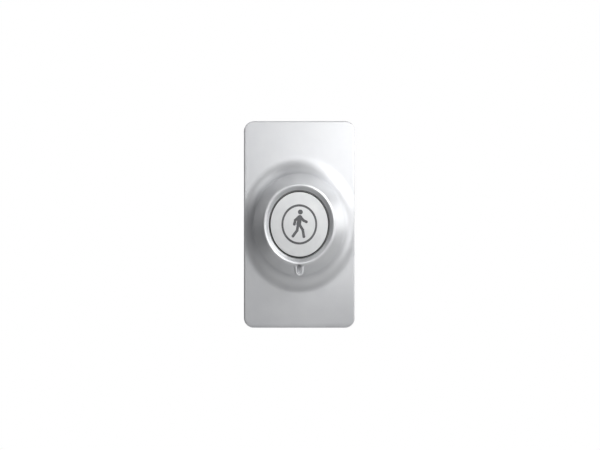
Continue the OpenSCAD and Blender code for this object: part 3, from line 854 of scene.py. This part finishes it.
def blasted_aluminium():
    material, tree, shader, place = start("die_cast_aluminium_bead_blasted", 0.54, metallic=1.0)
    shader.inputs["Coat Weight"].default_value = 0.2
    shader.inputs["Coat Roughness"].default_value = 0.25
    grain = add(tree, "TexNoise", {"Vector": place, "Scale": per(GRAIN), "Detail": 3}).outputs[0]
    cloud = add(tree, "TexNoise", {"Vector": place, "Scale": per(CLOUD), "Detail": 4}).outputs[0]
    patch = add(tree, "TexNoise", {"Vector": place, "Scale": per(RUB_PATCH), "Detail": 3}).outputs[0]
    rub = add(tree, "MapRange", {"Value": patch, **MIDDLE, "To Min": 0.4, "To Max": 1.0}).outputs[0]
    crest = band(tree, place, LIP_R, half=0.9, blur=1.2)
    worn = add(tree, "Math", {0: crest, 1: rub}, operation="MULTIPLY").outputs[0]
    blasted = add(tree, "MapRange", {"Value": cloud, **MIDDLE, "To Min": 0.53, "To Max": 0.56}).outputs[0]
    rubbed = add(tree, "Math", {0: worn, 1: -0.08, 2: blasted}, operation="MULTIPLY_ADD").outputs[0]
    drift = add(tree, "MapRange", {"Value": cloud, **MIDDLE, "To Max": 0.5}).outputs[0]
    tone = add(tree, "Math", {0: worn, 1: 0.5, 2: drift}, operation="MULTIPLY_ADD").outputs[0]
    ends = {6: linear("#D8D9DB"), 7: linear("#E0E1E2")}
    unshaded = add(tree, "Mix", {0: tone, **ends}, data_type="RGBA").outputs[2]
    # Painted shade: the casting is darkened along the bore's edge, where the gap round the button lies in
    # shadow
    with_painted_shade = painted_shade_ring(tree, place, unshaded, BORE_R, half=0.1, blur=0.5)
    connect(tree, shader, Base_Color=with_painted_shade, Roughness=rubbed)
    bumped(tree, shader, grain, 0.005)
    return material


# A facing cut feeds about 0.2 mm a turn; rings that fine wouldn't show, so they are drawn wider
TURNING = 1.2


def turned_aluminium():
    """Aluminium faced on a lathe: fine rings round the centre, each catching light as a thin arc."""
    material, tree, shader, place = start("aluminium_faced_on_a_lathe", 0.34, metallic=1.0)
    reach = scaled_length(tree, place, (1, 0, 1))
    along = add(tree, "CombineXYZ", {0: reach}).outputs[0]
    rings = add(tree, "TexNoise", {"Vector": along, "Scale": per(TURNING), "Detail": 4}).outputs[0]
    rough = add(tree, "MapRange", {"Value": rings, **MIDDLE, "To Min": 0.3, "To Max": 0.42}).outputs[0]
    round_centre = add(tree, "Tangent", direction_type="RADIAL", axis="Y").outputs[0]
    connect(tree, shader, Base_Color=toned(tree, rings, "#C6C8CB", "#D6D7D9"), Roughness=rough,
            Tangent=round_centre)
    shader.inputs["Anisotropic"].default_value = 0.6
    bumped(tree, shader, rings, 0.02, soften=0.15)
    return material


lathe_faced = turned_aluminium()
keep(cast_aluminium=blasted_aluminium())

# %% [markdown]
# ## Stainless steel
# The button's cap is stainless steel, brushed upright and then lightly blasted with glass beads, which
# leaves a satin face a little darker than the casting, and its edge is darkened as painted shade. Screws,
# inserts and the bracket are stainless as bought: drawn and pressed, with a tighter highlight and faint
# scuffs, and the bottoms of their sockets and threads are darkened as painted shade. Spring steel is
# drawn wire or thin strip, a little darker and warmer.

# %% Steels
CAP_EDGE_R = 28.1
CAP_CLOUD = 8
# Brush marks are some 0.05 mm apart, too fine to show, so they are drawn wider
BRUSH = 0.35
BRUSH_STRETCH = 0.04
# Scuffs are as fine as a hair; these wider patches leave the same soft unevenness
SCUFF = 0.5
SCREW_CLOUD = 4
SOCKET_DEPTH = 2
OXIDE = 1.5
# Lines left by a drawing die are about 0.02 mm apart, and are drawn wider too
DIE_LINE = 0.15


def satin_stainless():
    material, tree, shader, place = start("stainless_steel_satin_beaded", 0.5, metallic=1.0)
    stretched = add(tree, "Mapping", {"Vector": place, "Scale": (1, 1, BRUSH_STRETCH)}).outputs[0]
    brush = add(tree, "TexNoise", {"Vector": stretched, "Scale": per(BRUSH), "Detail": 2}).outputs[0]
    cloud = add(tree, "TexNoise", {"Vector": place, "Scale": per(CAP_CLOUD), "Detail": 3}).outputs[0]
    rough = add(tree, "MapRange", {"Value": brush, **MIDDLE, "To Min": 0.48, "To Max": 0.54}).outputs[0]
    unshaded = toned(tree, cloud, "#D6D7D8", "#DBDCDC")
    # Painted shade: the cap is darkened along its edge, beside the gap round it
    with_painted_shade = painted_shade_ring(tree, place, unshaded, CAP_EDGE_R, half=0.15, blur=0.4)
    connect(tree, shader, Base_Color=with_painted_shade, Roughness=rough)
    bumped(tree, shader, brush, 0.002)
    return material


def machined_stainless():
    material, tree, shader, place = start("stainless_steel_machined", 0.3, metallic=1.0)
    scuff = add(tree, "TexNoise", {"Vector": place, "Scale": per(SCUFF), "Detail": 3,
                                   "Distortion": 0.5}).outputs[0]
    cloud = add(tree, "TexNoise", {"Vector": place, "Scale": per(SCREW_CLOUD), "Detail": 2}).outputs[0]
    rough = add(tree, "MapRange", {"Value": cloud, **MIDDLE, "To Min": 0.3, "To Max": 0.38}).outputs[0]
    unshaded = toned(tree, scuff, "#C4C2BF", "#CFCDCA")
    # Painted shade: where ambient occlusion finds the steel closed in, as in sockets and threads, it is
    # darkened
    openness = add(tree, "AmbientOcclusion", {"Distance": SOCKET_DEPTH * MM}, samples=8).outputs["AO"]
    socket_shade = add(tree, "MapRange", {"Value": openness, "From Min": 0.3, "From Max": 0.8,
                                 "To Min": 0.85, "To Max": 0.0}).outputs[0]
    with_painted_shade = add(tree, "Mix", {0: socket_shade, 6: unshaded, 7: linear(PAINTED_SHADE_COLOUR)}, data_type="RGBA").outputs[2]
    connect(tree, shader, Base_Color=with_painted_shade, Roughness=rough)
    bumped(tree, shader, scuff, 0.0015, soften=0.12)
    return material


def drawn_spring_steel():
    material, tree, shader, place = start("spring_steel_drawn", 0.28, metallic=1.0)
    oxide = add(tree, "TexNoise", {"Vector": place, "Scale": per(OXIDE), "Detail": 3}).outputs[0]
    lines = add(tree, "TexNoise", {"Vector": place, "Scale": per(DIE_LINE), "Detail": 2}).outputs[0]
    rough = add(tree, "MapRange", {"Value": lines, **MIDDLE, "To Min": 0.22, "To Max": 0.38}).outputs[0]
    connect(tree, shader, Base_Color=toned(tree, oxide, "#8E8A86", "#A9A6A2"), Roughness=rough)
    bumped(tree, shader, lines, 0.003, soften=0.08)
    return material


keep(button_steel=satin_stainless(), steel_hardware=machined_stainless(),
     spring_steel=drawn_spring_steel())

# %% [markdown]
# ## Copper alloys
# The bush is bronze pressed from powder and filled with oil, so it shows tiny dark pores. The terminals
# and clamps are brass strip, stamped and slightly tarnished to a browner yellow in places.

# %% Copper alloys
# Pores are about 0.05 mm wide, and are drawn wider so that they show
PORE = 0.3
TARNISH = 2.2
STAMP_SCUFF = 0.3


def sintered_bronze():
    material, tree, shader, place = start("bronze_sintered_oil_filled", 0.4, metallic=1.0)
    pores = add(tree, "TexVoronoi", {"Vector": place, "Scale": per(PORE)}).outputs["Distance"]
    open_pore = add(tree, "MapRange", {"Value": pores, "From Min": 0.08, "From Max": 0.22,
                                       "To Min": 1.0, "To Max": 0.0}).outputs[0]
    ends = {6: linear("#A98048"), 7: linear("#4A3620")}
    metal = add(tree, "Mix", {0: open_pore, **ends}, data_type="RGBA").outputs[2]
    rough = add(tree, "MapRange", {"Value": open_pore, "To Min": 0.36, "To Max": 0.6}).outputs[0]
    connect(tree, shader, Base_Color=metal, Roughness=rough)
    bumped(tree, shader, pores, 0.02, soften=0.1)
    return material


def stamped_brass():
    material, tree, shader, place = start("brass_stamped", 0.3, metallic=1.0)
    tarnish = add(tree, "TexNoise", {"Vector": place, "Scale": per(TARNISH), "Detail": 4}).outputs[0]
    scuff = add(tree, "TexNoise", {"Vector": place, "Scale": per(STAMP_SCUFF), "Detail": 3}).outputs[0]
    rough = add(tree, "MapRange", {"Value": scuff, **MIDDLE, "To Min": 0.24, "To Max": 0.4}).outputs[0]
    connect(tree, shader, Base_Color=toned(tree, tarnish, "#D8B66A", "#B78E4C"), Roughness=rough)
    bumped(tree, shader, scuff, 0.003, soften=0.06)
    return material


keep(bearing_bronze=sintered_bronze(), contact_brass=stamped_brass())

# %% [markdown]
# ## Rubber and plastics
# Gaskets and the grommet are moulded EPDM rubber, nearly black with a matt, slightly chalky bloom. The
# switch body is black PBT with short glass fibres that leave faint flow marks, its plunger is red acetal,
# and the terminal block is cream nylon. The leads are PVC, glossy from the extruder.

# %% Rubber and plastics
BLOOM = 5
# A mould's spark-eroded skin has a grain of about 0.05 mm, and is drawn several times coarser
RUBBER_SKIN = 0.4
PLASTIC_SKIN = 0.25
FLOW = 1.6
FLOW_STRETCH = 0.12
STRAND = 1.2
FILL_SKIN = 0.6
FILL_CLOUD = 5


def moulded_rubber():
    material, tree, shader, place = start("epdm_rubber_moulded", 0.75, ior=1.52)
    bloom = add(tree, "TexNoise", {"Vector": place, "Scale": per(BLOOM), "Detail": 4}).outputs[0]
    skin = add(tree, "TexNoise", {"Vector": place, "Scale": per(RUBBER_SKIN), "Detail": 2}).outputs[0]
    rough = add(tree, "MapRange", {"Value": bloom, **MIDDLE, "To Min": 0.66, "To Max": 0.82}).outputs[0]
    connect(tree, shader, Base_Color=toned(tree, bloom, "#19191A", "#2A2A2B"), Roughness=rough)
    bumped(tree, shader, skin, 0.02)
    return material


def moulded_plastic(name, dark, light, ior, roughness):
    """Injection-moulded plastic: spark-eroded skin, and a tone drawn out along the flow."""
    material, tree, shader, place = start(name, roughness, ior=ior)
    stream = add(tree, "Mapping", {"Vector": place, "Scale": (FLOW_STRETCH, 1, 1)}).outputs[0]
    tone = add(tree, "TexNoise", {"Vector": stream, "Scale": per(FLOW), "Detail": 3}).outputs[0]
    skin = add(tree, "TexNoise", {"Vector": place, "Scale": per(PLASTIC_SKIN), "Detail": 2}).outputs[0]
    rough = add(tree, "MapRange", {"Value": skin, **MIDDLE, "To Min": roughness - 0.05,
                                   "To Max": roughness + 0.08}).outputs[0]
    connect(tree, shader, Base_Color=toned(tree, tone, dark, light), Roughness=rough)
    bumped(tree, shader, skin, 0.012, soften=0.1)
    return material


def insulation(name, dark, light):
    """PVC over a stranded core: smooth and glossy, with a faint swell where the strands lie."""
    material, tree, shader, place = start(name, 0.3, ior=1.54)
    tone = add(tree, "TexNoise", {"Vector": place, "Scale": per(STRAND), "Detail": 2}).outputs[0]
    rough = add(tree, "MapRange", {"Value": tone, **MIDDLE, "To Min": 0.26, "To Max": 0.38}).outputs[0]
    connect(tree, shader, Base_Color=toned(tree, tone, dark, light), Roughness=rough)
    bumped(tree, shader, tone, 0.02)
    return material


def filled_engraving():
    """Grey epoxy wiped into the engraving and cured: it sits a hair low and keeps a soft skin."""
    material, tree, shader, place = start("epoxy_engraving_fill", 0.5, ior=1.55)
    skin = add(tree, "TexNoise", {"Vector": place, "Scale": per(FILL_SKIN), "Detail": 3}).outputs[0]
    cloud = add(tree, "TexNoise", {"Vector": place, "Scale": per(FILL_CLOUD), "Detail": 3}).outputs[0]
    rough = add(tree, "MapRange", {"Value": skin, **MIDDLE, "To Min": 0.44, "To Max": 0.58}).outputs[0]
    connect(tree, shader, Base_Color=toned(tree, cloud, "#535356", "#5E5E61"), Roughness=rough)
    bumped(tree, shader, skin, 0.02)
    return material


keep(black_rubber=moulded_rubber(), symbol_fill=filled_engraving(),
     switch_plastic=moulded_plastic("pbt_glass_filled_black", "#1F1F21", "#2B2B2D", ior=1.57,
                                    roughness=0.5),
     plunger_plastic=moulded_plastic("acetal_red", "#9E2A22", "#AD352B", ior=1.48, roughness=0.36),
     block_plastic=moulded_plastic("nylon_cream", "#DAD5C4", "#E6E2D4", ior=1.53, roughness=0.45),
     lead_red=insulation("pvc_insulation_red", "#9A1B1E", "#AC2427"),
     lead_black=insulation("pvc_insulation_black", "#1B1B1D", "#262628"))

# %% [markdown]
# ## Handing out the finishes
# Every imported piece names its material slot, so one loop gives each its finish. Two turned pieces share
# the casting's alloy but were faced on a lathe, so they get that surface and not the blasted one.

# %% Give every piece its finish
own_finish = {"rear_cover": lathe_faced, "guide_plate": lathe_faced}
for name, piece in nodes.items():
    slot_name = piece.data.materials[0].name.split(".")[0]
    for material_slot in piece.material_slots:
        material_slot.material = own_finish.get(name, finishes[slot_name])
for piece in (casting, spring, common_lead, contact_lead):
    piece.data.materials.clear()
    piece.data.materials.append(finishes[piece["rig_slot"]])
print("finishes", len(finishes) + 1)

# %% [markdown]
# ## Studio
# The plate is shown against white. The floor is a round pale sheet some way below it, and its edge fades
# away, so no line crosses the picture from any side. The world is white where the camera looks straight
# at it but only a soft grey to everything else, so that metal keeps its darker side.

# %% Floor
FLOOR_DROP = 450
FLOOR_R = 1150
FADE_FROM = 500
FLOOR_SIDES = 96
FIBRE_CLOUD = 40
turns = 2 * math.pi * np.arange(FLOOR_SIDES) / FLOOR_SIDES
floor_rim = [(FLOOR_R * MM * math.cos(t), FLOOR_R * MM * math.sin(t), -FLOOR_DROP * MM) for t in turns]
floor = mesh_object("floor", floor_rim, [tuple(range(FLOOR_SIDES))])
paper, tree, shader, place = start("paper_sheet_white", 0.9)
reach = scaled_length(tree, place, (1, 1, 0))
limits = {"From Min": FADE_FROM * MM, "From Max": FLOOR_R * MM, "To Min": 1.0, "To Max": 0.0}
kept = add(tree, "MapRange", {"Value": reach, **limits}, interpolation_type="SMOOTHSTEP").outputs[0]
fibre = add(tree, "TexNoise", {"Vector": place, "Scale": per(FIBRE_CLOUD), "Detail": 3}).outputs[0]
ends = {6: linear("#ECECEB"), 7: linear("#F2F2F1")}
sheet = add(tree, "Mix", {0: fibre, **ends}, data_type="RGBA").outputs[2]
connect(tree, shader, Alpha=kept, Base_Color=sheet)
floor.data.materials.append(paper)
print("floor", FLOOR_DROP, "mm below the middle of the plate")

# %% World
WORLD_GREY = 0.12
world = bpy.data.worlds.new("studio")
bpy.context.scene.world = world
world.use_nodes = True
tree = world.node_tree
seen = tree.nodes["Background"]
seen.inputs["Color"].default_value = (1, 1, 1, 1)
room = add(tree, "Background", {"Color": linear("#FAFBFF"), "Strength": WORLD_GREY})
straight = add(tree, "LightPath").outputs["Is Camera Ray"]
both = add(tree, "MixShader", {0: straight, 1: room.outputs[0], 2: seen.outputs[0]})
tree.links.new(both.outputs[0], tree.nodes["World Output"].inputs[0])
print("light from the room", WORLD_GREY)

# %% [markdown]
# ## Lights
# Each light's place is noted as on a clock face seen by the camera: how far it is turned from the
# camera's own axis, at what hour, and how far away. Small boxes close by give the
# slope of brightness across the flat plate, since a far light would fall on all of it alike. Boxes more
# than 90 degrees off stand behind the plate. From the front they only catch the boss and the edges, and
# the one furthest round also shows the back to anyone who looks from there.

# %% Lights
# Each light: degrees off the camera's axis, clock angle from 12, distance and width in metres, watts
LIGHTS = {
    "key": (50, 45, 0.38, 0.20, 0.51),
    "key_close": (20, 45, 0.26, 0.12, 0.13),
    "key_right": (35, 70, 0.26, 0.12, 0.05),
    "rake_right": (75, 55, 0.38, 0.20, 0.36),
    "rake_left": (75, 315, 0.38, 0.20, 0.21),
    "front_fill": (20, 315, 1.0, 0.45, 1.3),
    "side_right": (80, 100, 1.0, 0.45, 1.9),
    "rim_right": (120, 80, 1.0, 0.45, 2.0),
    "overhead": (110, 0, 1.65, 1.4, 8),
    "back": (150, 320, 1.3, 1.0, 7),
}
for name, (turned, hour, away, width, watts) in LIGHTS.items():
    off, clock = math.radians(turned), math.radians(hour)
    lamp = bpy.data.lights.new(name, "AREA")
    lamp.size = width
    lamp.energy = watts
    light = bpy.data.objects.new(name, lamp)
    light.location = (away * math.sin(off) * math.sin(clock), -away * math.cos(off),
                      away * math.sin(off) * math.cos(clock))
    light.rotation_euler = (-light.location).to_track_quat("-Z", "Y").to_euler()
    light.visible_camera = False
    bpy.context.scene.collection.objects.link(light)
print("lights", len(LIGHTS))
